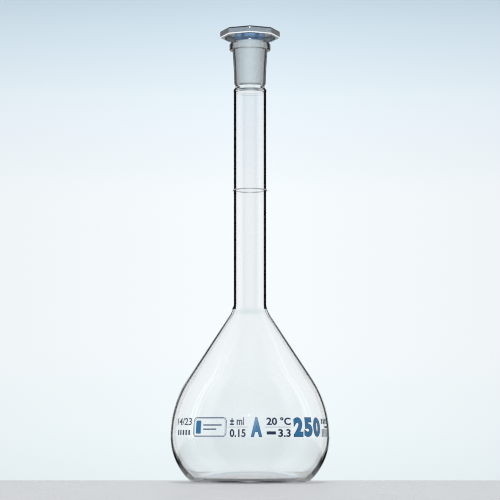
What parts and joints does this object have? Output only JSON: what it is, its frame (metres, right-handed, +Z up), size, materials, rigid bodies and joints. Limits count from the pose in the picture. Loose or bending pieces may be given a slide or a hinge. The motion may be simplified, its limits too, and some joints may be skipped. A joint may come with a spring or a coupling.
{
  "type": "volumetric flask",
  "caption": "Pear-shaped glass flask with a long narrow neck, a ring mark and a ground socket closed by an octagonal plastic stopper, for making up an exact volume.",
  "frame": {"origin": "centre of the ring the flask stands on", "axes": "+Z up the flask's axis, the print faces -Y"},
  "size_m": [0.0794, 0.0799, 0.2253],
  "materials": {
    "clear_glass": "clear, smooth borosilicate glass",
    "ground_glass": "clear outside, fine ground inside, looks frosted",
    "ring_enamel": "thin fired enamel",
    "blue_enamel": "thin fired enamel, satin",
    "dark_enamel": "thin fired enamel, satin",
    "head_plastic": "translucent natural polyethylene, satin",
    "plug_plastic": "translucent blue polyethylene, satin"
  },
  "bodies": {
    "flask": {"bulb": "clear_glass", "neck_tube": "clear_glass", "ground_socket": "ground_glass", "ring_mark": "ring_enamel", "enamel_digit_2": "blue_enamel", "enamel_digit_5": "blue_enamel", "enamel_digit_0": "blue_enamel", "enamel_class_letter": "blue_enamel", "enamel_marking_frame": "blue_enamel", "enamel_joint_size": "dark_enamel", "enamel_tolerance": "blue_enamel", "enamel_temperature": "blue_enamel", "enamel_unit": "dark_enamel"},
    "stopper": {"stopper_head": "head_plastic", "stopper_plug": "plug_plastic"}
  },
  "joints": [
    {"name": "stopper_lift", "type": "slide", "parent": "flask", "child": "stopper", "axis": [0, 0, 1], "range_m": [0, 0.04]}
  ]
}
